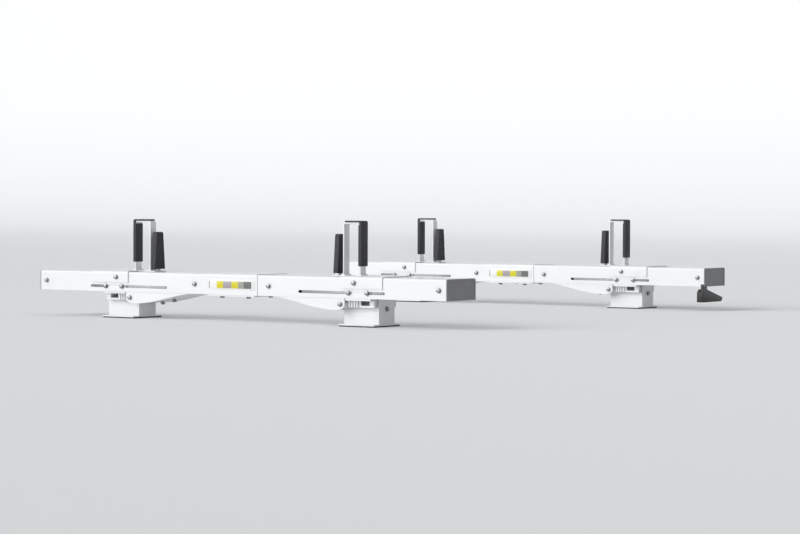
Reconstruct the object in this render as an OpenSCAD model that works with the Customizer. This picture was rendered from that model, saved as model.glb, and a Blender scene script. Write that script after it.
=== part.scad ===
// Two-bar ladder rack for the roof of a truck cap.
// Each crossbar is a formed sheet channel in two halves, joined at its centre, stiffened by two
// wing-shaped braces and carried by two feet. Two ladder stops slide along each crossbar.
// X is across the vehicle (left side positive), Y runs rearward, Z is up, and Z = 0 is the roof.

/* [Crossbars] */
// Length of a crossbar over its end caps
bar_length = 1700; // [1680:10:1900]
// Distance between the centre lines of the two crossbars
bar_spacing = 1756; // [1200:4:2200]
// Width of a crossbar from front to back
bar_width = 165; // [160:1:180]
// Height of a crossbar's walls
bar_height = 68; // [66:1:76]
// Sheet thickness of a crossbar
bar_wall = 2; // [2:0.5:3]
// Outer bend radius of a crossbar's top edges
bar_bend = 6; // [5:0.5:6]
// Height of a crossbar's lower edge above the roof
bar_lift = 91; // [88:1:110]

/* [Feet] */
// Distance from the centre of the crossbar to a foot's inner side
foot_inner = 430; // [425:1:433]
// Distance from the centre of the crossbar to a foot's outer side
foot_outer = 566; // [560:1:575]
// Width of a foot's box from front to back
foot_depth = 88; // [80:1:96]
// Length of a foot's base flange from front to back
flange_depth = 148; // [140:1:160]
// Thickness of the rubber pad under a foot
foot_pad_h = 4; // [3:0.5:6]
// Radius of the holes for the roof bolts
roof_hole_r = 4.5; // [3.5:0.5:5.5]

/* [Ladder stops] */
// Height of a stop's strap above the crossbar
stop_height = 174; // [150:1:200]
// Width of a stop's strap over its two legs
strap_span = 70; // [66:1:74]
// Width of the strap's flat bar
strap_w = 30; // [26:1:34]
// Thickness of the strap's flat bar
strap_t = 5; // [4:0.5:6]
// Distance from the centre of the crossbar to a stop's inner leg
stop_x = 404; // [402:1:408]
// Gap between a sliding saddle and the crossbar
slide_gap = 0.5; // [0.4:0.1:0.8]

/* [Hidden] */

// Colours of the finishes
paint = "white";
cap_grey = "gray";
zinc = "silver";
black = "#222222";

// Crossbar
bar_half = bar_length / 2;
bar_top = bar_lift + bar_height;
wall_out = bar_width / 2;
wall_in = wall_out - bar_wall;
cap_flange = 5;
plug_drop = 2;
plug_length = 38;
plug_wall = 4;
plug_gap = 0.4;
joint_gap = 0.5;
wall_bolt_z = bar_lift + bar_height / 2 - 1;
end_bolt_x = bar_half - 32;
joint_bolt_x = 155;

// Slot in the crossbar's walls, in which the feet are bolted at the vehicle's own spacing
slot_start = 280;
slot_end = 610;
slot_h = 9;
slot_z = bar_lift + 18;

// Joint between the two halves of a crossbar
sleeve_half = 185;
sleeve_wall = 2.5;
sleeve_gap = 0.3;
sleeve_low = bar_lift + 5;
cover_half = 109;
cover_t = 2;
plate_half = 96;
plate_t = 4;
plate_bolt_x = 55;
plate_bolt_y = 60;
label_start = -92;
label_end = 100;
label_h = 34;
label_t = 0.8;

// Brace
brace_start = 130;
brace_low_x = 425;
brace_low_z = 52;
brace_sheet = 2;
brace_gap = 0.3;
brace_top = slot_z - slot_h / 2 - 0.5;
brace_step_x = sleeve_half + 6;
brace_pivot_x = foot_inner + 10;
brace_pivot_z = 72;
brace_lobe_r = 17;
brace_steps = 18;
brace_bolt_xs = [310, 361];
under_drop = 2.2;

// Foot
foot_sheet = 3;
foot_split_z = 62;
flange_t = 4;
roof_bolt_inset_x = 22;
roof_bolt_inset_y = 12;
clamp_half = 62;
clamp_inner = brace_pivot_x + 8;
clamp_outer = foot_outer - foot_sheet - 3;
clamp_gap = 0.2;
ear_gap = 0.3;
ear_out = wall_in - ear_gap;
ear_t = 4;
ear_rise = 9;
ear_inner = 460;
ear_outer = 558;
ledge_h = 7;
slot_bolt_xs = [474, 547];
strip_t = 3;
strip_half = 12;
strip_inset = 4;
strip_gap = 0.1;
boss_r = 14;
boss_start = foot_depth / 2 + 2;
boss_end = wall_in - brace_gap - brace_sheet - clamp_gap;
rib_xs = [467, 477, 487, 497];
rib_w = 4;
rib_proud = 6;
window_x = 508;
window_w = 34;
window_h = 16;
window_z = foot_split_z + 6;
clamp_wall = 5;
tab_half = 20;
tab_low = 30;
side_bolt_z = 57;

// Stop
saddle_t = 3;
saddle_inner = 372;
saddle_wide = 445;
saddle_outer = 606;
saddle_low = bar_top - 37;
saddle_top = bar_top + slide_gap + saddle_t;
tongue_w = 60;
strap_top = bar_top + stop_height;
strap_bend = 9;
clamp_bolt_x = 497;
clamp_bolt_z = bar_top - 18;
clamp_tail = slide_gap - 0.3;
sleeve_rubber = 3;
sleeve_face = 5;
sleeve_bend = 6;
sleeve_low_z = strap_top - 141;
pad_t = 19;
pad_out = stop_x - 12;
pad_top_w = 34;
pad_low_w = 53;
pad_low_z = saddle_top + 6;
pad_top_z = strap_top - 38;
pad_corner = 7;
post_t = 5;
post_w = 20;
post_x = pad_out - (pad_t + post_t) / 2;
post_top = pad_top_z - 12;

// Cleat
cleat_w = 28;
cleat_depth = 156;
cleat_low = 32;
cleat_h = 48;
cleat_front_h = 36;
cleat_front_d = 14;
cleat_nose = 8;
cleat_stem_w = 12;
cleat_stem_d = 29;
cleat_lip = 2;
cleat_grip = 8;

// Fasteners, M8
shank_r = 4;
hole_r = 4.5;
washer_r = 8.5;
washer_t = 1.6;
hex_r = 7.5;
head_h = 5.3;
nut_h = 6.5;
tail = 10;
pivot_grip = 8;
pivot_tail = 16;

// Points of an arc about (cx, cy) from angle a0 to a1
function arc(cx, cy, r, a0, a1, n = 5) =
    [for (i = [0:n]) let (a = a0 + (a1 - a0) * i / n) [cx + r * cos(a), cy + r * sin(a)]];

// Outline of a closed section with round top edges
function hood(w, low, top, r) = concat(
    [[-w / 2, low]],
    arc(-w / 2 + r, top - r, r, 180, 90),
    arc(w / 2 - r, top - r, r, 90, 0),
    [[w / 2, low]]
);

// Outline of a channel of sheet t that is open at the bottom
function channel(w, low, top, t, r) = concat(
    hood(w, low, top, r),
    [[w / 2 - t, low]],
    arc(w / 2 - r, top - r, r - t, 0, 90),
    arc(-w / 2 + r, top - r, r - t, 90, 180),
    [[-w / 2 + t, low]]
);

// Lower edge of a brace, one smooth wave from the crossbar's edge down to the foot
function brace_edge(x, up = 0) =
    let (s = (x - brace_start) / (brace_low_x - brace_start))
    [x, bar_lift + 2 + up - (bar_lift + 2 - brace_low_z) * (1 - cos(180 * s)) / 2];
brace_wave_xs = [for (i = [0:brace_steps])
    brace_start + (brace_low_x - brace_start) * i / brace_steps];

// Extrudes a (Y, Z) outline from x0 to x1
module along_x(x0, x1) {
    translate([x0, 0, 0])
        rotate([90, 0, 90])
            linear_extrude(x1 - x0)
                children();
}

// Extrudes an (X, Z) outline from y0 to y1
module along_y(y0, y1) {
    translate([0, y1, 0])
        rotate([90, 0, 0])
            linear_extrude(y1 - y0)
                children();
}

// Round hole along Y through both walls
module cross_hole(x, z, r) {
    translate([x, 0, z])
        rotate([90, 0, 0])
            cylinder(r = r, h = bar_width + 20, center = true, $fn = 32);
}

// Box from corner to corner
module block(low, high) {
    translate(low)
        cube(high - low);
}

// Bolt along Z with its head above Z = 0, an inner washer and a nut past the grip
module bolt(grip, below, nut = true) {
    cylinder(r = washer_r, h = washer_t, $fn = 32);
    translate([0, 0, washer_t])
        cylinder(r = hex_r, h = head_h, $fn = 6);
    translate([0, 0, -grip - below])
        cylinder(r = shank_r, h = grip + below + washer_t, $fn = 32);
    if (nut)
        translate([0, 0, -grip - nut_h])
            cylinder(r = hex_r, h = nut_h, $fn = 6);
}

// Bolt through a wall at x and z, its head on the face at y; s is -1 on the front, 1 on the rear
module wall_bolt(x, y, z, s, grip, below, nut = true) {
    translate([x, s * y, z])
        rotate([-90 * s, 0, 0])
            bolt(grip, below, nut);
}

// Half of a crossbar, with its slot and bolt holes
module crossbar() {
    color(paint)
        difference() {
            along_x(joint_gap / 2, bar_half - cap_flange)
                polygon(channel(bar_width, bar_lift, bar_top, bar_wall, bar_bend));
            block([slot_start, -bar_width, slot_z - slot_h / 2],
                  [slot_end, bar_width, slot_z + slot_h / 2]);
            cross_hole(slot_start, slot_z, slot_h / 2);
            cross_hole(slot_end, slot_z, slot_h / 2);
            cross_hole(joint_bolt_x, wall_bolt_z, hole_r);
            cross_hole(end_bolt_x, wall_bolt_z, hole_r);
        }
}

// Rectangular tube inside the joint of the two halves
module joint_sleeve() {
    w = 2 * (wall_in - sleeve_gap);
    top = bar_top - bar_wall - sleeve_gap;
    color(paint)
        difference() {
            along_x(-sleeve_half, sleeve_half)
                polygon(hood(w, sleeve_low, top, bar_bend - bar_wall));
            block([-sleeve_half - 1, -w / 2 + sleeve_wall, sleeve_low + sleeve_wall],
                  [sleeve_half + 1, w / 2 - sleeve_wall, top - sleeve_wall]);
            for (s = [-1, 1]) {
                cross_hole(s * joint_bolt_x, wall_bolt_z, hole_r);
                for (y = [-plate_bolt_y, plate_bolt_y])
                    translate([s * plate_bolt_x, y, bar_lift])
                        cylinder(r = hole_r, h = 2 * bar_bend, $fn = 32);
            }
        }
}

// Cover that wraps over the joint
module joint_cover() {
    color(paint)
        along_x(-cover_half, cover_half)
            polygon(channel(bar_width + 2 * cover_t, bar_lift - 1, bar_top + cover_t, cover_t,
                            bar_bend + cover_t));
}

// Plate that closes the joint from below
module joint_plate() {
    color(paint)
        difference() {
            block([-plate_half, -wall_out, bar_lift - 1 - plate_t],
                  [plate_half, wall_out, bar_lift - 1]);
            for (x = [-plate_bolt_x, plate_bolt_x])
                for (y = [-plate_bolt_y, plate_bolt_y])
                    translate([x, y, bar_lift - 2 * plate_t])
                        cylinder(r = hole_r, h = 3 * plate_t, $fn = 32);
        }
}

// Thin label plate on the front of the cover
module label() {
    face = wall_out + cover_t;
    color("gold")
        block([label_start, -face - label_t, wall_bolt_z - label_h / 2],
              [label_end, -face, wall_bolt_z + label_h / 2]);
}

// Wing-shaped brace: two side walls and a floor that follows their lower edge
module brace() {
    out = wall_in - brace_gap;
    outline = concat(
        [for (x = brace_wave_xs) brace_edge(x)],
        arc(brace_pivot_x, brace_pivot_z, brace_lobe_r, -80, 0, 8),
        [[brace_pivot_x + brace_lobe_r, brace_top], [brace_step_x, brace_top],
         [brace_step_x, sleeve_low - 1], [brace_start, sleeve_low - 1]]
    );
    inside = concat(
        [for (x = brace_wave_xs) brace_edge(x, brace_sheet)],
        [[brace_low_x, 0], [foot_outer, 0], [foot_outer, bar_top], [brace_start - 1, bar_top]]
    );
    color(paint)
        difference() {
            along_y(-out, out)
                polygon(outline);
            along_y(-out + brace_sheet, out - brace_sheet)
                polygon(inside);
            cross_hole(brace_pivot_x, brace_pivot_z, hole_r);
            for (x = brace_bolt_xs)
                translate([x, 0, 0])
                    cylinder(r = hole_r, h = bar_lift, $fn = 32);
        }
}

// Moulded end cap with a hollow plug
module end_cap() {
    plug_out = wall_in - plug_gap;
    plug_low = bar_lift + 1;
    plug_top = bar_top - bar_wall - plug_gap - plug_drop;
    start = bar_half - cap_flange - plug_length;
    color(cap_grey)
        difference() {
            union() {
                along_x(bar_half - cap_flange, bar_half)
                    polygon(hood(bar_width, bar_lift, bar_top, bar_bend));
                block([start, -plug_out, plug_low], [bar_half - 1, plug_out, plug_top]);
            }
            block([start - 1, -plug_out + plug_wall, plug_low + plug_wall],
                  [bar_half - cap_flange, plug_out - plug_wall, plug_top - plug_wall]);
            cross_hole(end_bolt_x, wall_bolt_z, hole_r);
        }
}

// Box of a foot with its outer side plate and its base flange
module foot() {
    d = foot_depth / 2;
    low = foot_pad_h;
    color(paint)
        difference() {
            union() {
                block([foot_inner, -d, low], [foot_outer, d, foot_split_z]);
                block([foot_outer - foot_sheet, -d, low], [foot_outer, d, bar_lift - 1]);
                block([foot_inner, -flange_depth / 2, low],
                      [foot_outer, flange_depth / 2, low + flange_t]);
            }
            block([foot_inner + foot_sheet, -d + foot_sheet, low + flange_t],
                  [foot_outer - foot_sheet, d - foot_sheet, bar_top]);
            translate([foot_outer, 0, side_bolt_z])
                rotate([0, 90, 0])
                    cylinder(r = hole_r, h = 4 * foot_sheet, center = true, $fn = 32);
            roof_holes(roof_hole_r);
        }
}

// The four holes for the roof bolts of one foot
module roof_holes(r) {
    for (x = [foot_inner + roof_bolt_inset_x, foot_outer - roof_bolt_inset_x])
        for (y = [-flange_depth / 2 + roof_bolt_inset_y, flange_depth / 2 - roof_bolt_inset_y])
            translate([x, y, -1])
                cylinder(r = r, h = 20, $fn = 32);
}

// Rubber pad between a foot and the roof
module foot_pad() {
    color(black)
        difference() {
            block([foot_inner, -flange_depth / 2, 0], [foot_outer, flange_depth / 2, foot_pad_h]);
            roof_holes(roof_hole_r + 0.5);
        }
}

// Ribbed clamp that ties the foot, the brace and the crossbar together
module foot_clamp() {
    color(paint)
        difference() {
            union() {
                block([clamp_inner, -clamp_half, foot_split_z],
                      [clamp_outer, clamp_half, bar_lift - clamp_gap]);
                block([clamp_outer - clamp_wall, -tab_half, tab_low],
                      [foot_outer - foot_sheet, tab_half, bar_lift - 1]);
                for (s = [-1, 1])
                    mirror([0, s < 0 ? 1 : 0, 0]) {
                        translate([brace_pivot_x, boss_end, brace_pivot_z])
                            rotate([90, 0, 0])
                                cylinder(r = boss_r, h = boss_end - boss_start, $fn = 40);
                        block([ear_inner, clamp_half - 1, bar_lift - ledge_h],
                              [ear_outer, ear_out, bar_lift - clamp_gap]);
                        block([ear_inner, ear_out - ear_t, bar_lift - 1],
                              [ear_outer, ear_out, slot_z + ear_rise]);
                        for (x = rib_xs)
                            block([x - rib_w / 2, clamp_half - 1, foot_split_z],
                                  [x + rib_w / 2, clamp_half + rib_proud, bar_lift - ledge_h]);
                    }
            }
            block([clamp_inner + clamp_wall, -clamp_half + clamp_wall, foot_split_z - 1],
                  [clamp_outer - clamp_wall, clamp_half - clamp_wall,
                   bar_lift - clamp_gap - clamp_wall]);
            block([window_x, -clamp_half - 1, window_z],
                  [window_x + window_w, clamp_half + 1, window_z + window_h]);
            cross_hole(brace_pivot_x, brace_pivot_z, hole_r);
            for (x = slot_bolt_xs)
                cross_hole(x, slot_z, hole_r);
            translate([foot_outer - foot_sheet, 0, side_bolt_z])
                rotate([0, 90, 0])
                    cylinder(r = hole_r, h = 50, center = true, $fn = 32);
        }
}

// Bolts of the joint and of the end caps in the crossbar's walls
module wall_bolts() {
    color(zinc)
        for (side = [-1, 1])
            for (s = [-1, 1]) {
                wall_bolt(side * joint_bolt_x, wall_out, wall_bolt_z, s,
                          bar_wall + sleeve_gap + sleeve_wall, tail);
                wall_bolt(side * end_bolt_x, wall_out, wall_bolt_z, s,
                          bar_wall + plug_gap + plug_wall, tail);
            }
}

// Backing strips behind the slot, which the slot bolts pass through
module slot_strips() {
    out = ear_out - ear_t;
    difference() {
        for (s = [-1, 1])
            mirror([0, s < 0 ? 1 : 0, 0])
                block([slot_start + strip_inset, out - strip_t, slot_z - strip_half],
                      [slot_end - strip_inset, out, slot_z + strip_half]);
        for (x = slot_bolt_xs)
            cross_hole(x, slot_z, hole_r);
    }
}

// Bolts of both feet: slot bolts, brace bolts and the bolt in each foot's side
module foot_bolts() {
    color(zinc)
        for (side = [-1, 1])
            mirror([side < 0 ? 1 : 0, 0, 0]) {
                slot_strips();
                for (s = [-1, 1]) {
                    for (x = slot_bolt_xs)
                        wall_bolt(x, wall_out, slot_z, s,
                                  wall_out - ear_out + ear_t + strip_t + strip_gap, tail);
                    wall_bolt(brace_pivot_x, wall_in - brace_gap, brace_pivot_z, s, pivot_grip,
                              pivot_tail, false);
                }
                translate([foot_outer, 0, side_bolt_z])
                    rotate([0, 90, 0])
                        bolt(foot_outer - clamp_outer + clamp_wall, tail);
            }
}

// Bolts under the joint and under the floors of the two braces
module under_bolts() {
    plate_low = bar_lift - 1 - plate_t;
    color(zinc)
        for (side = [-1, 1])
            mirror([side < 0 ? 1 : 0, 0, 0]) {
                for (y = [-plate_bolt_y, plate_bolt_y])
                    translate([plate_bolt_x, y, plate_low])
                        rotate([180, 0, 0])
                            bolt(sleeve_low + sleeve_wall - plate_low, tail);
                for (x = brace_bolt_xs)
                    translate([x, 0, brace_edge(x)[1] - under_drop])
                        rotate([180, 0, 0])
                            bolt(brace_sheet + 2 * under_drop, tail);
            }
}

// Sliding base of a ladder stop: a wide clamp outboard, a narrow tongue and the pad's post
module stop_saddle() {
    w = bar_width + 2 * (slide_gap + saddle_t);
    color(paint)
        difference() {
            union() {
                along_x(saddle_wide, saddle_outer)
                    polygon(channel(w, saddle_low, saddle_top, saddle_t,
                                    bar_bend + slide_gap + saddle_t));
                block([saddle_inner, -tongue_w / 2, saddle_top - saddle_t],
                      [saddle_wide + 1, tongue_w / 2, saddle_top]);
                block([post_x, -post_w / 2, saddle_top - saddle_t],
                      [post_x + post_t, post_w / 2, post_top]);
            }
            cross_hole(clamp_bolt_x, clamp_bolt_z, hole_r);
        }
}

// Outline of the strap, an upside-down U with bent corners
function strap_outline() =
    let (a = stop_x, b = stop_x + strap_span, t = strap_t, r = strap_bend, top = strap_top)
    concat(
        [[a, saddle_top]], arc(a + r, top - r, r, 180, 90), arc(b - r, top - r, r, 90, 0),
        [[b, saddle_top], [b - t, saddle_top]],
        arc(b - r, top - r, r - t, 0, 90), arc(a + r, top - r, r - t, 90, 180),
        [[a + t, saddle_top]]
    );

// Flat-bar strap of a ladder stop
module stop_strap() {
    color(paint)
        along_y(-strap_w / 2, strap_w / 2)
            polygon(strap_outline());
}

// Outline of the sleeve, which covers the strap's outer leg and runs over its top
function sleeve_outline() =
    let (a = stop_x + strap_bend, b = stop_x + strap_span, leg = b - strap_t,
         out = b + sleeve_face, top = strap_top + sleeve_face, shoulder = strap_top - strap_bend)
    concat(
        [[a, strap_top], [a, top]],
        arc(out - sleeve_bend, top - sleeve_bend, sleeve_bend, 90, 0),
        [[out, sleeve_low_z], [leg - sleeve_rubber, sleeve_low_z],
         [leg - sleeve_rubber, shoulder - 1], [leg, shoulder - 1], [leg, strap_top]]
    );

// Rubber sleeve round the strap's outer leg and over its top
module stop_sleeve() {
    w = strap_w / 2 + sleeve_rubber;
    color(black)
        difference() {
            along_y(-w, w)
                polygon(sleeve_outline());
            along_y(-strap_w / 2, strap_w / 2)
                polygon(strap_outline());
        }
}

// Tapered rubber pad over the saddle's post, inboard of the strap
module stop_pad() {
    r = pad_corner;
    a = pad_top_w / 2;
    b = pad_low_w / 2;
    color(black)
        difference() {
            along_x(pad_out - pad_t, pad_out)
                polygon(concat([[-b, pad_low_z]], arc(-a + r, pad_top_z - r, r, 180, 90),
                               arc(a - r, pad_top_z - r, r, 90, 0), [[b, pad_low_z]]));
            block([post_x, -post_w / 2, saddle_top], [post_x + post_t, post_w / 2, post_top]);
        }
}

// Clamp bolts of a stop, front and rear, which press on the crossbar's walls
module stop_bolts() {
    color(zinc)
        for (s = [-1, 1])
            wall_bolt(clamp_bolt_x, wall_out + slide_gap + saddle_t, clamp_bolt_z, s, saddle_t,
                      clamp_tail, false);
}

// Cleat under the left end of the rear crossbar, a wedge on a short stem
module tie_down_cleat() {
    front = -wall_out - cleat_lip;
    back = front + cleat_depth;
    outer = bar_half - cap_flange;
    color(black)
        difference() {
            union() {
                along_x(outer - cleat_w, outer)
                    polygon([[front, cleat_low], [back - cleat_nose, cleat_low],
                             [back, cleat_low + cleat_nose], [back, cleat_low + 2 * cleat_nose],
                             [front + cleat_stem_d, cleat_low + cleat_h],
                             [front + cleat_front_d, cleat_low + cleat_h],
                             [front, cleat_low + cleat_front_h]]);
                block([outer - cleat_stem_w, front, cleat_low + cleat_nose],
                      [outer, front + cleat_stem_d, bar_lift + cleat_grip]);
            }
            block([0, -wall_out - clamp_gap, bar_lift - clamp_gap], [bar_half, 0, bar_top]);
        }
}

// Places children on one crossbar; end is -1 for the front one and 1 for the rear one
module at_bar(end) {
    translate([0, end * bar_spacing / 2, 0])
        children();
}

// Places children on one half of a crossbar; side is 1 for the left half and -1 for the right
module at_side(end, side) {
    at_bar(end)
        mirror([side < 0 ? 1 : 0, 0, 0])
            children();
}

at_side(-1, 1) crossbar();  // front_crossbar_left
at_side(-1, -1) crossbar();  // front_crossbar_right
at_bar(-1) joint_sleeve();  // front_joint_sleeve
at_bar(-1) joint_cover();  // front_joint_cover
at_bar(-1) joint_plate();  // front_joint_plate
at_bar(-1) label();  // front_label
at_side(-1, 1) brace();  // front_brace_left
at_side(-1, -1) brace();  // front_brace_right
at_side(-1, 1) end_cap();  // front_end_cap_left
at_side(-1, -1) end_cap();  // front_end_cap_right
at_side(-1, 1) foot();  // front_foot_left
at_side(-1, -1) foot();  // front_foot_right
at_side(-1, 1) foot_clamp();  // front_foot_clamp_left
at_side(-1, -1) foot_clamp();  // front_foot_clamp_right
at_side(-1, 1) foot_pad();  // front_foot_pad_left
at_side(-1, -1) foot_pad();  // front_foot_pad_right
at_bar(-1) wall_bolts();  // front_wall_bolts
at_bar(-1) foot_bolts();  // front_foot_bolts
at_bar(-1) under_bolts();  // front_under_bolts
at_side(-1, 1) stop_saddle();  // front_left_stop_saddle
at_side(-1, 1) stop_strap();  // front_left_stop_strap
at_side(-1, 1) stop_sleeve();  // front_left_stop_sleeve
at_side(-1, 1) stop_pad();  // front_left_stop_pad
at_side(-1, 1) stop_bolts();  // front_left_stop_bolts
at_side(-1, -1) stop_saddle();  // front_right_stop_saddle
at_side(-1, -1) stop_strap();  // front_right_stop_strap
at_side(-1, -1) stop_sleeve();  // front_right_stop_sleeve
at_side(-1, -1) stop_pad();  // front_right_stop_pad
at_side(-1, -1) stop_bolts();  // front_right_stop_bolts
at_side(1, 1) crossbar();  // rear_crossbar_left
at_side(1, -1) crossbar();  // rear_crossbar_right
at_bar(1) joint_sleeve();  // rear_joint_sleeve
at_bar(1) joint_cover();  // rear_joint_cover
at_bar(1) joint_plate();  // rear_joint_plate
at_bar(1) label();  // rear_label
at_side(1, 1) brace();  // rear_brace_left
at_side(1, -1) brace();  // rear_brace_right
at_side(1, 1) end_cap();  // rear_end_cap_left
at_side(1, -1) end_cap();  // rear_end_cap_right
at_side(1, 1) foot();  // rear_foot_left
at_side(1, -1) foot();  // rear_foot_right
at_side(1, 1) foot_clamp();  // rear_foot_clamp_left
at_side(1, -1) foot_clamp();  // rear_foot_clamp_right
at_side(1, 1) foot_pad();  // rear_foot_pad_left
at_side(1, -1) foot_pad();  // rear_foot_pad_right
at_bar(1) wall_bolts();  // rear_wall_bolts
at_bar(1) foot_bolts();  // rear_foot_bolts
at_bar(1) under_bolts();  // rear_under_bolts
at_side(1, 1) stop_saddle();  // rear_left_stop_saddle
at_side(1, 1) stop_strap();  // rear_left_stop_strap
at_side(1, 1) stop_sleeve();  // rear_left_stop_sleeve
at_side(1, 1) stop_pad();  // rear_left_stop_pad
at_side(1, 1) stop_bolts();  // rear_left_stop_bolts
at_side(1, -1) stop_saddle();  // rear_right_stop_saddle
at_side(1, -1) stop_strap();  // rear_right_stop_strap
at_side(1, -1) stop_sleeve();  // rear_right_stop_sleeve
at_side(1, -1) stop_pad();  // rear_right_stop_pad
at_side(1, -1) stop_bolts();  // rear_right_stop_bolts
at_bar(1) tie_down_cleat();  // rear_tie_down_cleat
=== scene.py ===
# Ladder rack for a truck cap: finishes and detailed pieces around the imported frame
import bpy
import bmesh
import math
from mathutils import Matrix, Vector


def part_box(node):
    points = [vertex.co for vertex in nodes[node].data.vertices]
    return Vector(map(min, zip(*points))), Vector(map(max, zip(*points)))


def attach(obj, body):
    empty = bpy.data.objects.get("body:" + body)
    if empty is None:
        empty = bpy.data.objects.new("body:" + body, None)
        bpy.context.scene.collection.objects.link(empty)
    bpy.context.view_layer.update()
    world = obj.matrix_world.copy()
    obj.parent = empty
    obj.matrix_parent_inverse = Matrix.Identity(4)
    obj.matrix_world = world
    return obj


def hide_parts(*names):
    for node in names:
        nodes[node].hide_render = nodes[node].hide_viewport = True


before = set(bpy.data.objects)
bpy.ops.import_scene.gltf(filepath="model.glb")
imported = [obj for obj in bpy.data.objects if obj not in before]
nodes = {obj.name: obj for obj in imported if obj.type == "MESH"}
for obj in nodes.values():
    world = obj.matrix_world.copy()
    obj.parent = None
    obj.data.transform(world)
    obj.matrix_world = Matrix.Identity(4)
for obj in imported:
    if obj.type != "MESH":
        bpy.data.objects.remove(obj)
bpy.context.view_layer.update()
bars = ["front", "rear"]
sides = {"left": 1, "right": -1}
# distances under this, in metres, count as none
touching = 1e-6
print("frame loaded:", len(nodes), "nodes")


cameraSetup = {
    "place": (4.779, -7.008, 0.381),
    "aim": (0.02, 0.0, 0.165),
    "lens": 105.0,
    "sensor": 36.0,
    "farthest": 200.0,
    "roll": 0.2,
}

stageSetup = {
    "width": 60.0,
    "front": -14.0,
    "back": 26.0,
    "sweep": 6.0,
    "sweepSteps": 12,
    "rise": 16.0,
    "colour": (0.86, 0.865, 0.87, 1),
    "roughness": 0.9,
}

lightAim = (0, 0, 0.1)
lightSetup = {
    "key": {"kind": "SUN", "place": (-4.2, -6.5, 3.4), "strength": 2.45, "spread": 50},
    "back": {"kind": "SUN", "place": (3.0, 7.0, 5.0), "strength": 0.2, "spread": 70},
    "top": {"kind": "AREA", "place": (0.0, -1.5, 4.5), "strength": 8, "size": 5.0},
    "right": {"kind": "AREA", "place": (6.0, -1.5, 2.6), "strength": 8, "size": 3.0},
}
skySetup = {"colour": (0.96, 0.98, 1.0, 1), "strength": 0.40}


def lookAt(obj, aim, roll=0.0):
    away = obj.location - Vector(aim)
    obj.rotation_mode = "QUATERNION"
    obj.rotation_quaternion = away.to_track_quat("Z", "Y")
    obj.rotation_quaternion = obj.rotation_quaternion @ Matrix.Rotation(
        math.radians(roll), 3, "Z").to_quaternion()


def makeCamera():
    data = bpy.data.cameras.new("camera")
    data.lens = cameraSetup["lens"]
    data.sensor_width = cameraSetup["sensor"]
    data.clip_end = cameraSetup["farthest"]
    camera = bpy.data.objects.new("camera", data)
    camera.location = cameraSetup["place"]
    bpy.context.scene.collection.objects.link(camera)
    lookAt(camera, cameraSetup["aim"], cameraSetup["roll"])
    bpy.context.scene.camera = camera


def makeLights():
    for name, light in lightSetup.items():
        data = bpy.data.lights.new(name, light["kind"])
        data.energy = light["strength"]
        if light["kind"] == "SUN":
            data.angle = math.radians(light["spread"])
        else:
            data.size = light["size"]
        obj = bpy.data.objects.new(name, data)
        obj.location = light["place"]
        bpy.context.scene.collection.objects.link(obj)
        lookAt(obj, lightAim)
    world = bpy.data.worlds.new("sky")
    world.use_nodes = True
    background = world.node_tree.nodes["Background"]
    background.inputs["Color"].default_value = skySetup["colour"]
    background.inputs["Strength"].default_value = skySetup["strength"]
    bpy.context.scene.world = world
    bpy.context.scene.view_settings.view_transform = "Standard"


def wire(tree, source, target):
    tree.links.new(source, target)


def feed(tree, value, target):
    # a socket is wired, and a number or a colour is set
    if isinstance(value, (int, float, tuple)):
        target.default_value = value
    else:
        wire(tree, value, target)


def addNode(tree, kind, **values):
    node = tree.nodes.new(kind)
    for name, value in values.items():
        if name in node.inputs:
            node.inputs[name].default_value = value
        else:
            setattr(node, name, value)
    return node


def addMath(tree, operation, *values, clamp=False):
    node = addNode(tree, "ShaderNodeMath", operation=operation, use_clamp=clamp)
    for index, value in enumerate(values):
        feed(tree, value, node.inputs[index])
    return node.outputs[0]


def addNoise(tree, place, **values):
    noise = addNode(tree, "ShaderNodeTexNoise", **values)
    wire(tree, place.outputs["Object"], noise.inputs["Vector"])
    return noise


def addRange(tree, source, fromLow, fromHigh, toLow=0.0, toHigh=1.0):
    node = addNode(tree, "ShaderNodeMapRange", **{
        "From Min": fromLow, "From Max": fromHigh, "To Min": toLow, "To Max": toHigh})
    wire(tree, source, node.inputs["Value"])
    return node.outputs["Result"]


def addMix(tree, factor, first, second):
    # the colour sockets of a mix node are its seventh and eighth
    mix = addNode(tree, "ShaderNodeMix", data_type="RGBA")
    wire(tree, factor, mix.inputs["Factor"])
    feed(tree, first, mix.inputs[6])
    feed(tree, second, mix.inputs[7])
    return mix.outputs[2]


def startGroup(name, inputs, outputs):
    group = bpy.data.node_groups.new(name, "ShaderNodeTree")
    for label, kind, value in inputs:
        socket = group.interface.new_socket(name=label, in_out="INPUT", socket_type=kind)
        socket.default_value = value
    for label, kind in outputs:
        group.interface.new_socket(name=label, in_out="OUTPUT", socket_type=kind)
    entry = group.nodes.new("NodeGroupInput")
    leave = group.nodes.new("NodeGroupOutput")
    return group, entry, leave


grainLook = {"fineDetail": 3.0, "broadScale": 9.0, "broadDetail": 5.0, "middle": 0.5,
             "scale": 500.0, "roughness": 0.4, "spread": 0.08}


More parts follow.
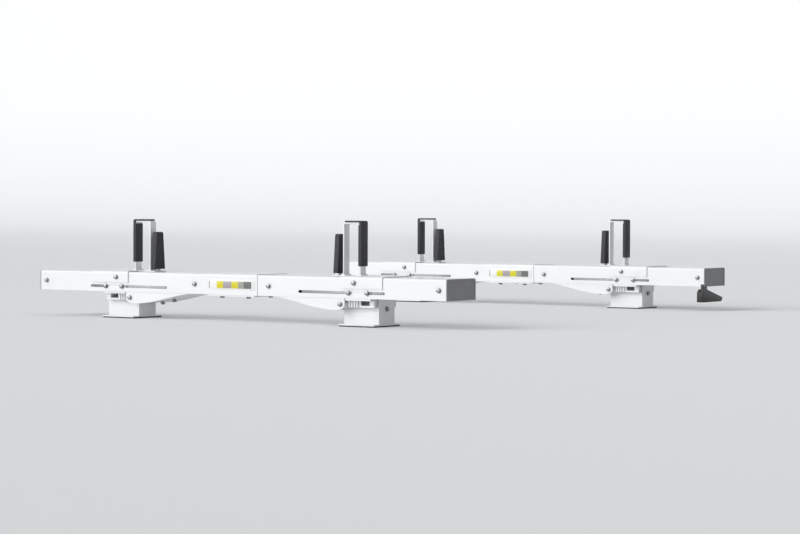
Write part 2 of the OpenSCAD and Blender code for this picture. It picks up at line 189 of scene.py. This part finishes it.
def makeGrainGroup():
    # fine skin of a coating or a moulding: a height for bump and a small change of roughness
    look = grainLook
    group, entry, leave = startGroup(
        "surfaceGrain",
        [("Scale", "NodeSocketFloat", look["scale"]),
         ("Roughness", "NodeSocketFloat", look["roughness"]),
         ("Spread", "NodeSocketFloat", look["spread"])],
        [("Height", "NodeSocketFloat"), ("Roughness", "NodeSocketFloat")])
    place = addNode(group, "ShaderNodeTexCoord")
    fine = addNoise(group, place, Detail=look["fineDetail"])
    broad = addNoise(group, place, Scale=look["broadScale"], Detail=look["broadDetail"])
    wire(group, entry.outputs["Scale"], fine.inputs["Scale"])
    centred = addMath(group, "SUBTRACT", broad.outputs["Fac"], look["middle"])
    spread = addMath(group, "MULTIPLY_ADD", centred, entry.outputs["Spread"],
                     entry.outputs["Roughness"])
    wire(group, fine.outputs["Fac"], leave.inputs["Height"])
    wire(group, spread, leave.inputs["Roughness"])
    return group


def startColourGroup(name, added, colour, amount):
    # a group that lays one more colour over what comes in
    return startGroup(
        name,
        [("Color", "NodeSocketColor", (1, 1, 1, 1)), (added, "NodeSocketColor", colour),
         ("Amount", "NodeSocketFloat", amount)],
        [("Color", "NodeSocketColor"), ("Mask", "NodeSocketFloat")])


def endColourGroup(group, entry, leave, added, mask):
    amount = addMath(group, "MULTIPLY", mask, entry.outputs["Amount"], clamp=True)
    colour = addMix(group, amount, entry.outputs["Color"], entry.outputs[added])
    wire(group, colour, leave.inputs["Color"])
    wire(group, amount, leave.inputs["Mask"])
    return group


dustLook = {
    "colour": (0.45, 0.43, 0.4, 1), "amount": 0.2,
    "patches": {"Scale": 14.0, "Detail": 6.0, "Roughness": 0.65},
    "specks": {"Scale": 260.0, "Detail": 2.0},
    "patchStart": 0.42, "patchEnd": 0.72,
    "faceDown": -0.2, "faceUp": 1.0, "leastShare": 0.25,
}


def makeDustGroup():
    # road dust that settles on faces that look up
    look = dustLook
    group, entry, leave = startColourGroup("roadDust", "Dust", look["colour"], look["amount"])
    place = addNode(group, "ShaderNodeTexCoord")
    shape = addNode(group, "ShaderNodeNewGeometry")
    patches = addNoise(group, place, **look["patches"])
    specks = addNoise(group, place, **look["specks"])
    turned = addNode(group, "ShaderNodeSeparateXYZ")
    wire(group, shape.outputs["Normal"], turned.inputs["Vector"])
    up = addRange(group, turned.outputs["Z"], look["faceDown"], look["faceUp"],
                  look["leastShare"])
    fade = addRange(group, patches.outputs["Fac"], look["patchStart"], look["patchEnd"])
    grain = addMath(group, "MULTIPLY", fade, specks.outputs["Fac"])
    lying = addMath(group, "MULTIPLY", grain, up)
    return endColourGroup(group, entry, leave, "Dust", lying)


rubLook = {
    "colour": (0.5, 0.5, 0.5, 1), "amount": 0.3,
    "edgeStart": 0.53, "edgeEnd": 0.62,
    "chips": {"Scale": 45.0, "Detail": 6.0, "Roughness": 0.7},
    "chipStart": 0.5, "chipEnd": 0.7,
}


def makeEdgeGroup():
    # rubbed edges, where the finish is thin or polished
    look = rubLook
    group, entry, leave = startColourGroup("edgeRub", "Bare", look["colour"], look["amount"])
    place = addNode(group, "ShaderNodeTexCoord")
    shape = addNode(group, "ShaderNodeNewGeometry")
    edge = addRange(group, shape.outputs["Pointiness"], look["edgeStart"], look["edgeEnd"])
    broken = addNoise(group, place, **look["chips"])
    chips = addRange(group, broken.outputs["Fac"], look["chipStart"], look["chipEnd"])
    both = addMath(group, "MULTIPLY", edge, chips)
    return endColourGroup(group, entry, leave, "Bare", both)


finishes = {
    "whitePowderCoat": {
        "colour": (0.80, 0.81, 0.82, 1), "shade": (0.74, 0.75, 0.765, 1), "metal": 0.0,
        "roughness": 0.38, "spread": 0.10, "grain": 900.0, "bump": 0.05, "depth": 0.0004,
        "dust": 0.16, "rub": 0.25, "bare": (0.52, 0.53, 0.54, 1), "coat": 0.25,
    },
    "greyMoulding": {
        "colour": (0.215, 0.216, 0.22, 1), "shade": (0.165, 0.166, 0.17, 1), "metal": 0.0,
        "roughness": 0.55, "spread": 0.12, "grain": 1500.0, "bump": 0.25, "depth": 0.0004,
        "dust": 0.35, "rub": 0.35, "bare": (0.36, 0.36, 0.37, 1), "coat": 0.0,
    },
    "blackRubber": {
        "colour": (0.012, 0.013, 0.015, 1), "shade": (0.021, 0.022, 0.026, 1), "metal": 0.0,
        "roughness": 0.62, "spread": 0.18, "grain": 700.0, "bump": 0.30, "depth": 0.0006,
        "dust": 0.22, "rub": 0.45, "bare": (0.075, 0.075, 0.08, 1), "coat": 0.0,
    },
    "blackMoulding": {
        "colour": (0.006, 0.006, 0.007, 1), "shade": (0.010, 0.010, 0.012, 1), "metal": 0.0,
        "roughness": 0.42, "spread": 0.14, "grain": 1300.0, "bump": 0.2, "depth": 0.0004,
        "dust": 0.10, "rub": 0.3, "bare": (0.05, 0.05, 0.055, 1), "coat": 0.0,
    },
    "zincPlate": {
        "colour": (0.34, 0.35, 0.365, 1), "shade": (0.24, 0.25, 0.27, 1), "metal": 0.85,
        "roughness": 0.36, "spread": 0.25, "grain": 1100.0, "bump": 0.12, "depth": 0.0003,
        "dust": 0.3, "rub": 0.5, "bare": (0.6, 0.6, 0.6, 1), "coat": 0.0,
    },
}
# what all finishes share
finishBase = {"cloudScale": 5.0, "cloudDetail": 4.0, "dustMatt": 0.35, "coatRoughness": 0.12}


def startMaterial(name):
    material = bpy.data.materials.new(name)
    material.use_nodes = True
    return material, material.node_tree, material.node_tree.nodes["Principled BSDF"]


def addDust(tree, shader, groups, colour, amount):
    dust = addNode(tree, "ShaderNodeGroup", node_tree=groups["dust"])
    dust.inputs["Amount"].default_value = amount
    wire(tree, colour, dust.inputs["Color"])
    wire(tree, dust.outputs["Color"], shader.inputs["Base Color"])
    return dust.outputs["Mask"]


def addGrain(tree, shader, groups, look):
    grain = addNode(tree, "ShaderNodeGroup", node_tree=groups["grain"])
    grain.inputs["Scale"].default_value = look["grain"]
    grain.inputs["Roughness"].default_value = look["roughness"]
    grain.inputs["Spread"].default_value = look["spread"]
    bump = addNode(tree, "ShaderNodeBump", Strength=look["bump"], Distance=look["depth"])
    wire(tree, grain.outputs["Height"], bump.inputs["Height"])
    wire(tree, bump.outputs["Normal"], shader.inputs["Normal"])
    return grain.outputs["Roughness"]


def makeFinish(name, look, groups):
    material, tree, shader = startMaterial(name)
    place = addNode(tree, "ShaderNodeTexCoord")
    clouds = addNoise(tree, place, Scale=finishBase["cloudScale"],
                      Detail=finishBase["cloudDetail"])
    tone = addMix(tree, clouds.outputs["Fac"], look["colour"], look["shade"])
    rub = addNode(tree, "ShaderNodeGroup", node_tree=groups["rub"])
    rub.inputs["Bare"].default_value = look["bare"]
    rub.inputs["Amount"].default_value = look["rub"]
    wire(tree, tone, rub.inputs["Color"])
    dusty = addDust(tree, shader, groups, rub.outputs["Color"], look["dust"])
    roughness = addGrain(tree, shader, groups, look)
    matt = addMath(tree, "MULTIPLY_ADD", dusty, finishBase["dustMatt"], roughness, clamp=True)
    wire(tree, matt, shader.inputs["Roughness"])
    shader.inputs["Metallic"].default_value = look["metal"]
    shader.inputs["Coat Weight"].default_value = look["coat"]
    shader.inputs["Coat Roughness"].default_value = finishBase["coatRoughness"]
    return material


labelLook = {
    "blocks": [(0.0, (0.16, 0.16, 0.18, 1)), (0.014, (0.80, 0.80, 0.79, 1)),
               (0.17, (0.66, 0.59, 0.02, 1)), (0.31, (0.36, 0.33, 0.35, 1)),
               (0.49, (0.66, 0.59, 0.02, 1)), (0.64, (0.33, 0.34, 0.30, 1)),
               (0.76, (0.15, 0.16, 0.15, 1)), (0.925, (0.80, 0.80, 0.79, 1))],
    "bandLow": 0.16, "bandHigh": 0.84, "paper": (0.80, 0.80, 0.79, 1),
    "dust": 0.2, "grain": 300.0, "roughness": 0.28, "spread": 0.08, "bump": 0.04,
    "depth": 0.0003, "corner": 0.003, "rim": 0.0002,
}


def makeLabelMaterial(groups):
    # printed film: coloured blocks in a row on white, with no lettering
    look = labelLook
    low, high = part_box("front_label")
    material, tree, shader = startMaterial("stripedFilm")
    place = addNode(tree, "ShaderNodeTexCoord")
    parts = addNode(tree, "ShaderNodeSeparateXYZ")
    wire(tree, place.outputs["Object"], parts.inputs["Vector"])
    blocks = addNode(tree, "ShaderNodeValToRGB")
    ramp = blocks.color_ramp
    ramp.interpolation = "CONSTANT"
    for index, (start, colour) in enumerate(look["blocks"]):
        # a new ramp already holds two stops
        stop = ramp.elements[index] if index < 2 else ramp.elements.new(start)
        stop.position = start
        stop.color = colour
    wire(tree, addRange(tree, parts.outputs["X"], low.x, high.x), blocks.inputs["Fac"])
    upward = addRange(tree, parts.outputs["Z"], low.z, high.z)
    band = addMath(tree, "MULTIPLY", addMath(tree, "GREATER_THAN", upward, look["bandLow"]),
                   addMath(tree, "LESS_THAN", upward, look["bandHigh"]))
    printed = addMix(tree, band, look["paper"], blocks.outputs["Color"])
    addDust(tree, shader, groups, printed, look["dust"])
    wire(tree, addGrain(tree, shader, groups, look), shader.inputs["Roughness"])
    return material


def only(kind, geometry):
    return [part for part in geometry if isinstance(part, kind)]


def boxShape(bm, low, high):
    made = bmesh.ops.create_cube(bm, size=1.0)
    size = [high[i] - low[i] for i in range(3)]
    centre = [(high[i] + low[i]) / 2 for i in range(3)]
    bmesh.ops.scale(bm, vec=size, verts=made["verts"])
    bmesh.ops.translate(bm, vec=centre, verts=made["verts"])


def sharpEdges(bm, angle):
    return [e for e in bm.edges
            if len(e.link_faces) == 2 and e.calc_face_angle(0.0) > math.radians(angle)]


def bevelEdges(bm, edges, width, segments):
    bmesh.ops.bevel(bm, geom=edges, offset=width, offset_type="OFFSET", segments=segments,
                    profile=0.5, affect="EDGES", clamp_overlap=True, material=-1)


def facesAt(bm, x):
    return [f for f in bm.faces if abs(f.calc_center_median().x - x) < touching]


def joinInto(target, part):
    mesh = bpy.data.meshes.new("part")
    part.to_mesh(mesh)
    part.free()
    target.from_mesh(mesh)
    bpy.data.meshes.remove(mesh)


def finishPiece(name, bm, material, body, replaced, smoothAngle=35.0):
    bmesh.ops.remove_doubles(bm, verts=bm.verts, dist=touching)
    bmesh.ops.recalc_face_normals(bm, faces=bm.faces)
    for face in bm.faces:
        face.smooth = True
    for edge in bm.edges:
        edge.smooth = (len(edge.link_faces) == 2
                       and edge.calc_face_angle(0.0) < math.radians(smoothAngle))
    mesh = bpy.data.meshes.new(name)
    bm.to_mesh(mesh)
    bm.free()
    mesh.materials.append(material)
    piece = bpy.data.objects.new(name, mesh)
    bpy.context.scene.collection.objects.link(piece)
    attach(piece, body)
    if replaced:
        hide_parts(*replaced)


def mergedCopy(node):
    bm = bmesh.new()
    bm.from_mesh(nodes[node].data)
    bmesh.ops.remove_doubles(bm, verts=bm.verts, dist=touching)
    return bm


def plainCopy(node):
    # a node's shape with one face for each flat side
    bm = mergedCopy(node)
    bmesh.ops.dissolve_limit(bm, angle_limit=math.radians(1), verts=bm.verts, edges=bm.edges)
    return bm


def solidsOf(node):
    # boxes of the separate solids in one node, as (lowest corner, highest corner)
    bm = mergedCopy(node)
    seen, boxes = set(), []
    for start in bm.verts:
        if start.index in seen:
            continue
        queue, found = [start], []
        seen.add(start.index)
        while queue:
            vert = queue.pop()
            found.append(vert.co.copy())
            for edge in vert.link_edges:
                other = edge.other_vert(vert)
                if other.index not in seen:
                    seen.add(other.index)
                    queue.append(other)
        low = Vector([min(c[i] for c in found) for i in range(3)])
        high = Vector([max(c[i] for c in found) for i in range(3)])
        boxes.append((low, high))
    bm.free()
    return boxes


# bevel width of the edges, in metres, by the last words of the node's name
sheetEdges = {
    "crossbar_left": 0.0006, "crossbar_right": 0.0006, "joint_sleeve": 0.0005,
    "joint_cover": 0.0006, "joint_plate": 0.0008, "brace_left": 0.0005, "brace_right": 0.0005,
    "foot_left": 0.0007, "foot_right": 0.0007, "foot_clamp_left": 0.0012,
    "foot_clamp_right": 0.0012, "stop_saddle": 0.0008,
}
sheetLook = {"merge": 0.00001, "flatAngle": 0.5, "bevelSteps": 2, "bevelAngle": 30}


def softenEdges(node, width):
    weld = nodes[node].modifiers.new("weld", "WELD")
    weld.merge_threshold = sheetLook["merge"]
    flat = nodes[node].modifiers.new("flatten", "DECIMATE")
    flat.decimate_type = "DISSOLVE"
    flat.angle_limit = math.radians(sheetLook["flatAngle"])
    bevel = nodes[node].modifiers.new("soften", "BEVEL")
    bevel.width = width
    bevel.segments = sheetLook["bevelSteps"]
    bevel.limit_method = "ANGLE"
    bevel.angle_limit = math.radians(sheetLook["bevelAngle"])
    bevel.use_clamp_overlap = True


def dressSheetMetal(paint):
    for name, node in nodes.items():
        node.data.materials.clear()
        node.data.materials.append(paint)
        for ending, width in sheetEdges.items():
            if name.endswith(ending):
                softenEdges(name, width)
                break


boltLook = {
    "head": 0.0053, "headEdge": 0.0009, "hexRadius": 0.0075, "nut": 0.0065, "tail": 0.010,
    "washer": 0.0016, "washerEdge": 0.0004, "washerRadius": 0.0085, "washerSteps": 28,
    "shankRadius": 0.004, "threadPitch": 0.00125, "threadDepth": 0.0006, "threadSteps": 20,
    # bolts shorter than nutFrom, and bolts along Y longer than nutTo, have no nut
    "nutFrom": 0.02, "nutTo": 0.029,
    # foot bolts this near the crossbar's centre line go into the feet's outer sides
    "sideBand": 0.02,
    "stripLength": 0.1, "stripEdge": 0.0004,
}


def discShape(bm, low, high, radius, edge, steps):
    # a disc, or a hexagon with six steps, with both ends turned down to a chamfer
    made = bmesh.ops.create_cone(bm, cap_ends=True, segments=steps, radius1=radius,
                                 radius2=radius, depth=high - low)
    bmesh.ops.translate(bm, vec=(0, 0, (low + high) / 2), verts=made["verts"])
    ends = dict.fromkeys(e for v in made["verts"] for e in v.link_edges
                         if abs(e.verts[0].co.z - e.verts[1].co.z) < touching)
    bevelEdges(bm, list(ends), edge, 2)


def threadShape(bm, low, high, radius):
    # rings of a thread between two heights, closed at its tip
    look = boltLook
    outline = [(0.0, low), (radius - look["threadDepth"], low)]
    turns = max(1, int((high - low) / look["threadPitch"]))
    for turn in range(turns):
        z = low + (turn + 0.5) * look["threadPitch"]
        outline.append((radius, z))
        outline.append((radius - look["threadDepth"], z + look["threadPitch"] / 2))
    outline += [(radius - look["threadDepth"], high), (0.0, high)]
    verts = [bm.verts.new((r, 0, z)) for r, z in outline]
    edges = [bm.edges.new(pair) for pair in zip(verts, verts[1:])]
    bmesh.ops.spin(bm, geom=verts + edges, cent=(0, 0, 0), axis=(0, 0, 1), angle=math.tau,
                   steps=look["threadSteps"], use_merge=True)


def boltShape(length, hasNut):
    # a bolt along Z with its head's top at Z = 0 and its tip at -length
    look = boltLook
    bm = bmesh.new()
    seat = -look["head"] - look["washer"]
    discShape(bm, -look["head"], 0.0, look["hexRadius"], look["headEdge"], 6)
    discShape(bm, seat, -look["head"], look["washerRadius"], look["washerEdge"],
              look["washerSteps"])
    threadShape(bm, -length, seat, look["shankRadius"])
    if hasNut:
        top = look["tail"] - length
        discShape(bm, top - look["nut"], top, look["hexRadius"], look["headEdge"], 6)
    return bm


def addBolt(target, low, high, axis, outward, hasNut):
    index = "XYZ".index(axis)
    bolt = boltShape(high[index] - low[index], hasNut)
    turn = {
        ("X", 1): Matrix.Rotation(math.radians(90), 4, "Y"),
        ("X", -1): Matrix.Rotation(math.radians(-90), 4, "Y"),
        ("Y", 1): Matrix.Rotation(math.radians(-90), 4, "X"),
        ("Y", -1): Matrix.Rotation(math.radians(90), 4, "X"),
        ("Z", -1): Matrix.Rotation(math.radians(180), 4, "X"),
    }[(axis, outward)]
    centre = (low + high) / 2
    centre[index] = high[index] if outward > 0 else low[index]
    bmesh.ops.transform(bolt, matrix=Matrix.Translation(centre) @ turn, verts=bolt.verts)
    joinInto(target, bolt)


def addStrip(target, low, high):
    # long backing strip behind a slot
    strip = bmesh.new()
    boxShape(strip, low, high)
    bevelEdges(strip, sharpEdges(strip, 40), boltLook["stripEdge"], 2)
    joinInto(target, strip)


def makeBolts(zinc):
    look = boltLook
    for bar in bars:
        coverLow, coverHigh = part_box(bar + "_joint_cover")
        middle = (coverLow.y + coverHigh.y) / 2
        owners = {f"{bar}_{group}_bolts": "rack" for group in ("wall", "foot", "under")}
        owners.update({f"{bar}_{side}_stop_bolts": f"{bar}_{side}_stop" for side in sides})
        for node, body in owners.items():
            bm = bmesh.new()
            for low, high in solidsOf(node):
                size, centre = high - low, (low + high) / 2
                if size.x > look["stripLength"]:
                    addStrip(bm, low, high)
                    continue
                if node.endswith("under_bolts"):
                    axis, outward = "Z", -1
                elif node.endswith("foot_bolts") and abs(centre.y - middle) < look["sideBand"]:
                    axis, outward = "X", 1 if centre.x > 0 else -1
                else:
                    axis, outward = "Y", 1 if centre.y > middle else -1
                reach = size["XYZ".index(axis)]
                hasNut = reach > look["nutFrom"] and (axis != "Y" or reach <= look["nutTo"])
                addBolt(bm, low, high, axis, outward, hasNut)
            finishPiece(node.replace("bolts", "hexBolts"), bm, zinc, body, [node])


rubberLook = {
    "edge": 0.0022, "edgeSteps": 4, "sleeveEdge": 0.0016, "footEdge": 0.0008,
    "border": 0.0045, "grooveStep": 0.0095, "grooveDepth": 0.0012, "grooveWidth": 0.0030,
    "margin": 0.010, "cutMargin": 1e-7,
}


def cutGrooves(bm, faceAt, inward, low, high):
    # shallow level grooves inside a plain border on the face that a ladder leans on
    look = rubberLook
    panel = facesAt(bm, faceAt)
    bmesh.ops.inset_region(bm, faces=panel, thickness=look["border"], depth=0.0)
    bottoms = []
    z = low + look["margin"]
    while z < high - look["margin"]:
        for level in (z - look["grooveWidth"] / 2, z, z + look["grooveWidth"] / 2):
            edges = dict.fromkeys(e for f in panel for e in f.edges)
            made = bmesh.ops.bisect_plane(bm, geom=panel + list(edges), dist=look["cutMargin"],
                                          plane_co=(0, 0, level), plane_no=(0, 0, 1))
            panel = only(bmesh.types.BMFace, made["geom"])
            if level == z:
                bottoms += only(bmesh.types.BMVert, made["geom_cut"])
        z += look["grooveStep"]
    for vert in bottoms:
        vert.co.x += inward * look["grooveDepth"]


def makePad(bar, side, rubber):
    node = f"{bar}_{side}_stop_pad"
    low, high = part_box(node)
    bm = plainCopy(node)
    cutGrooves(bm, low.x if sides[side] > 0 else high.x, sides[side], low.z, high.z)
    bevelEdges(bm, sharpEdges(bm, 60), rubberLook["edge"], rubberLook["edgeSteps"])
    finishPiece(f"{bar}_{side}_stop_gripPad", bm, rubber, f"{bar}_{side}_stop", [node])


def makeSleeve(bar, side, rubber):
    node = f"{bar}_{side}_stop_sleeve"
    bm = plainCopy(node)
    bevelEdges(bm, sharpEdges(bm, 40), rubberLook["sleeveEdge"], 3)
    finishPiece(f"{bar}_{side}_stop_gripSleeve", bm, rubber, f"{bar}_{side}_stop", [node])


def makeFootPad(bar, side, rubber):
    node = f"{bar}_foot_pad_{side}"
    bm = plainCopy(node)
    bevelEdges(bm, sharpEdges(bm, 40), rubberLook["footEdge"], 2)
    finishPiece(f"{bar}_{side}_footPad", bm, rubber, "rack", [node])


strapLook = {"thickness": 0.005, "edge": 0.0009, "bend": 0.009, "bendSteps": 10}


def makeStrap(bar, side, paint):
    # a flat bar bent over two corners: one section, extruded up, spun round each bend
    node = f"{bar}_{side}_stop_strap"
    low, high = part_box(node)
    thick = strapLook["thickness"]
    bend = strapLook["bend"]
    bm = bmesh.new()
    corners = [(low.x, low.y), (low.x + thick, low.y), (low.x + thick, high.y),
               (low.x, high.y)]
    section = bm.faces.new([bm.verts.new((x, y, low.z)) for x, y in corners])

    def extrude(faces):
        made = bmesh.ops.extrude_face_region(bm, geom=faces)["geom"]
        return only(bmesh.types.BMVert, made), only(bmesh.types.BMFace, made)

    def push(faces, move):
        verts, faces = extrude(faces)
        bmesh.ops.translate(bm, vec=move, verts=verts)
        return faces

    def turn(faces, centre):
        step = Matrix.Rotation(math.radians(90) / strapLook["bendSteps"], 3, "Y")
        for _ in range(strapLook["bendSteps"]):
            verts, faces = extrude(faces)
            bmesh.ops.rotate(bm, cent=centre, matrix=step, verts=verts)
        return faces

    tip = push([section], (0, 0, high.z - low.z - bend))
    tip = turn(tip, (low.x + bend, 0, high.z - bend))
    tip = push(tip, (high.x - low.x - 2 * bend, 0, 0))
    tip = turn(tip, (high.x - bend, 0, high.z - bend))
    push(tip, (0, 0, -(high.z - low.z - bend)))
    inner = [f for f in bm.faces if all(len(e.link_faces) > 2 for e in f.edges)]
    bmesh.ops.delete(bm, geom=inner, context="FACES_ONLY")
    bevelEdges(bm, sharpEdges(bm, 40), strapLook["edge"], 2)
    finishPiece(f"{bar}_{side}_stop_bentStrap", bm, paint, f"{bar}_{side}_stop", [node])


weldLook = {
    "foot": 0.0045, "rise": 0.0045, "round": 0.9, "roundSteps": 4,
    "ripple": 0.0005, "rippleLength": 0.0032, "rippleFrom": 0.0005, "rippleTo": 0.0043,
    "longEdge": 0.012, "cuts": 11,
}


def makeWelds(bar, side, paint):
    # fillet welds round both legs of a strap, where they stand on the saddle
    low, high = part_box(f"{bar}_{side}_stop_strap")
    look = weldLook
    bm = bmesh.new()
    for start in (low.x, high.x - strapLook["thickness"]):
        leg = bmesh.new()
        boxShape(leg, (start - look["foot"], low.y - look["foot"], low.z),
                 (start + strapLook["thickness"] + look["foot"], high.y + look["foot"],
                  low.z + look["rise"]))
        top = [e for e in leg.edges if all(v.co.z > low.z + look["rise"] / 2 for v in e.verts)]
        bevelEdges(leg, top, look["rise"] * look["round"], look["roundSteps"])
        long = [e for e in leg.edges if e.calc_length() > look["longEdge"]]
        bmesh.ops.subdivide_edges(leg, edges=long, cuts=look["cuts"], use_grid_fill=True)
        for vert in leg.verts:
            if look["rippleFrom"] < vert.co.z - low.z < look["rippleTo"]:
                turns = vert.co.y / look["rippleLength"]
                vert.co.z += math.sin(turns * math.tau) * look["ripple"]
        joinInto(bm, leg)
    finishPiece(f"{bar}_{side}_stop_welds", bm, paint, f"{bar}_{side}_stop", (), 60.0)


capLook = {"edge": 0.0028, "edgeSteps": 4, "panelInset": 0.007, "panelDepth": 0.0012}


def makeEndCap(bar, side, moulding):
    # a sunk panel inside a rounded rim on the cap's outer face
    node = f"{bar}_end_cap_{side}"
    outer = sides[side]
    low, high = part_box(node)
    bm = plainCopy(node)
    end = high.x if outer > 0 else low.x
    made = bmesh.ops.inset_region(bm, faces=facesAt(bm, end), thickness=capLook["panelInset"],
                                  depth=0.0)
    inner = [f for f in facesAt(bm, end) if f not in made["faces"]]
    slope = bmesh.ops.inset_region(bm, faces=inner, thickness=capLook["panelDepth"], depth=0.0)
    panel = [f for f in inner if f.is_valid and f not in slope["faces"]]
    bmesh.ops.translate(bm, vec=(-outer * capLook["panelDepth"], 0, 0),
                        verts=list({v for f in panel for v in f.verts}))
    rim = [e for e in sharpEdges(bm, 60) if all(abs(v.co.x - end) < touching for v in e.verts)]
    bevelEdges(bm, rim, capLook["edge"], capLook["edgeSteps"])
    finishPiece(f"{bar}_{side}_endCap", bm, moulding, "rack", [node])


def makeLabel(bar, film):
    node = bar + "_label"
    low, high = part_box(node)
    bm = bmesh.new()
    boxShape(bm, low, high)
    corners = [e for e in bm.edges if abs(e.verts[0].co.y - e.verts[1].co.y) > touching]
    bevelEdges(bm, corners, labelLook["corner"], 5)
    rim = [e for e in bm.edges if all(abs(v.co.y - low.y) < touching for v in e.verts)]
    bevelEdges(bm, rim, labelLook["rim"], 2)
    finishPiece(bar + "_stripedLabel", bm, film, "rack", [node])


cleatLook = {"edge": 0.0014, "edgeSteps": 3}


def makeCleat(moulding):
    node = "rear_tie_down_cleat"
    bm = plainCopy(node)
    bevelEdges(bm, sharpEdges(bm, 30), cleatLook["edge"], cleatLook["edgeSteps"])
    finishPiece("rear_left_tieDownCleat", bm, moulding, "rack", [node])


def makeStage():
    # a floor that sweeps up into a background
    look = stageSetup
    bm = bmesh.new()
    outline = [(look["front"], 0.0), (look["back"] - look["sweep"], 0.0)]
    for step in range(1, look["sweepSteps"] + 1):
        angle = math.radians(90) * step / look["sweepSteps"]
        outline.append((look["back"] - look["sweep"] + look["sweep"] * math.sin(angle),
                        look["sweep"] * (1 - math.cos(angle))))
    outline.append((look["back"], look["rise"]))
    start = [bm.verts.new((-look["width"] / 2, y, z)) for y, z in outline]
    edges = [bm.edges.new(pair) for pair in zip(start, start[1:])]
    made = bmesh.ops.extrude_edge_only(bm, edges=edges)
    bmesh.ops.translate(bm, vec=(look["width"], 0, 0),
                        verts=only(bmesh.types.BMVert, made["geom"]))
    for face in bm.faces:
        face.smooth = True
    mesh = bpy.data.meshes.new("floor")
    bm.to_mesh(mesh)
    bm.free()
    floor = bpy.data.objects.new("floor", mesh)
    bpy.context.scene.collection.objects.link(floor)
    material, _, shader = startMaterial("studioFloor")
    shader.inputs["Base Color"].default_value = look["colour"]
    shader.inputs["Roughness"].default_value = look["roughness"]
    mesh.materials.append(material)


makeCamera()
makeLights()
makeStage()
print("stage, lights and camera made")

groups = {"grain": makeGrainGroup(), "dust": makeDustGroup(), "rub": makeEdgeGroup()}
materials = {name: makeFinish(name, look, groups) for name, look in finishes.items()}
materials["stripedFilm"] = makeLabelMaterial(groups)
print("materials made")

dressSheetMetal(materials["whitePowderCoat"])
print("sheet metal dressed")

makeBolts(materials["zincPlate"])
print("bolts made")

for bar in bars:
    for side in sides:
        makePad(bar, side, materials["blackRubber"])
        makeSleeve(bar, side, materials["blackRubber"])
        makeStrap(bar, side, materials["whitePowderCoat"])
        makeWelds(bar, side, materials["whitePowderCoat"])
        makeEndCap(bar, side, materials["greyMoulding"])
        makeFootPad(bar, side, materials["blackRubber"])
    makeLabel(bar, materials["stripedFilm"])
makeCleat(materials["blackMoulding"])
print("stops, caps, pads, labels and cleat made")
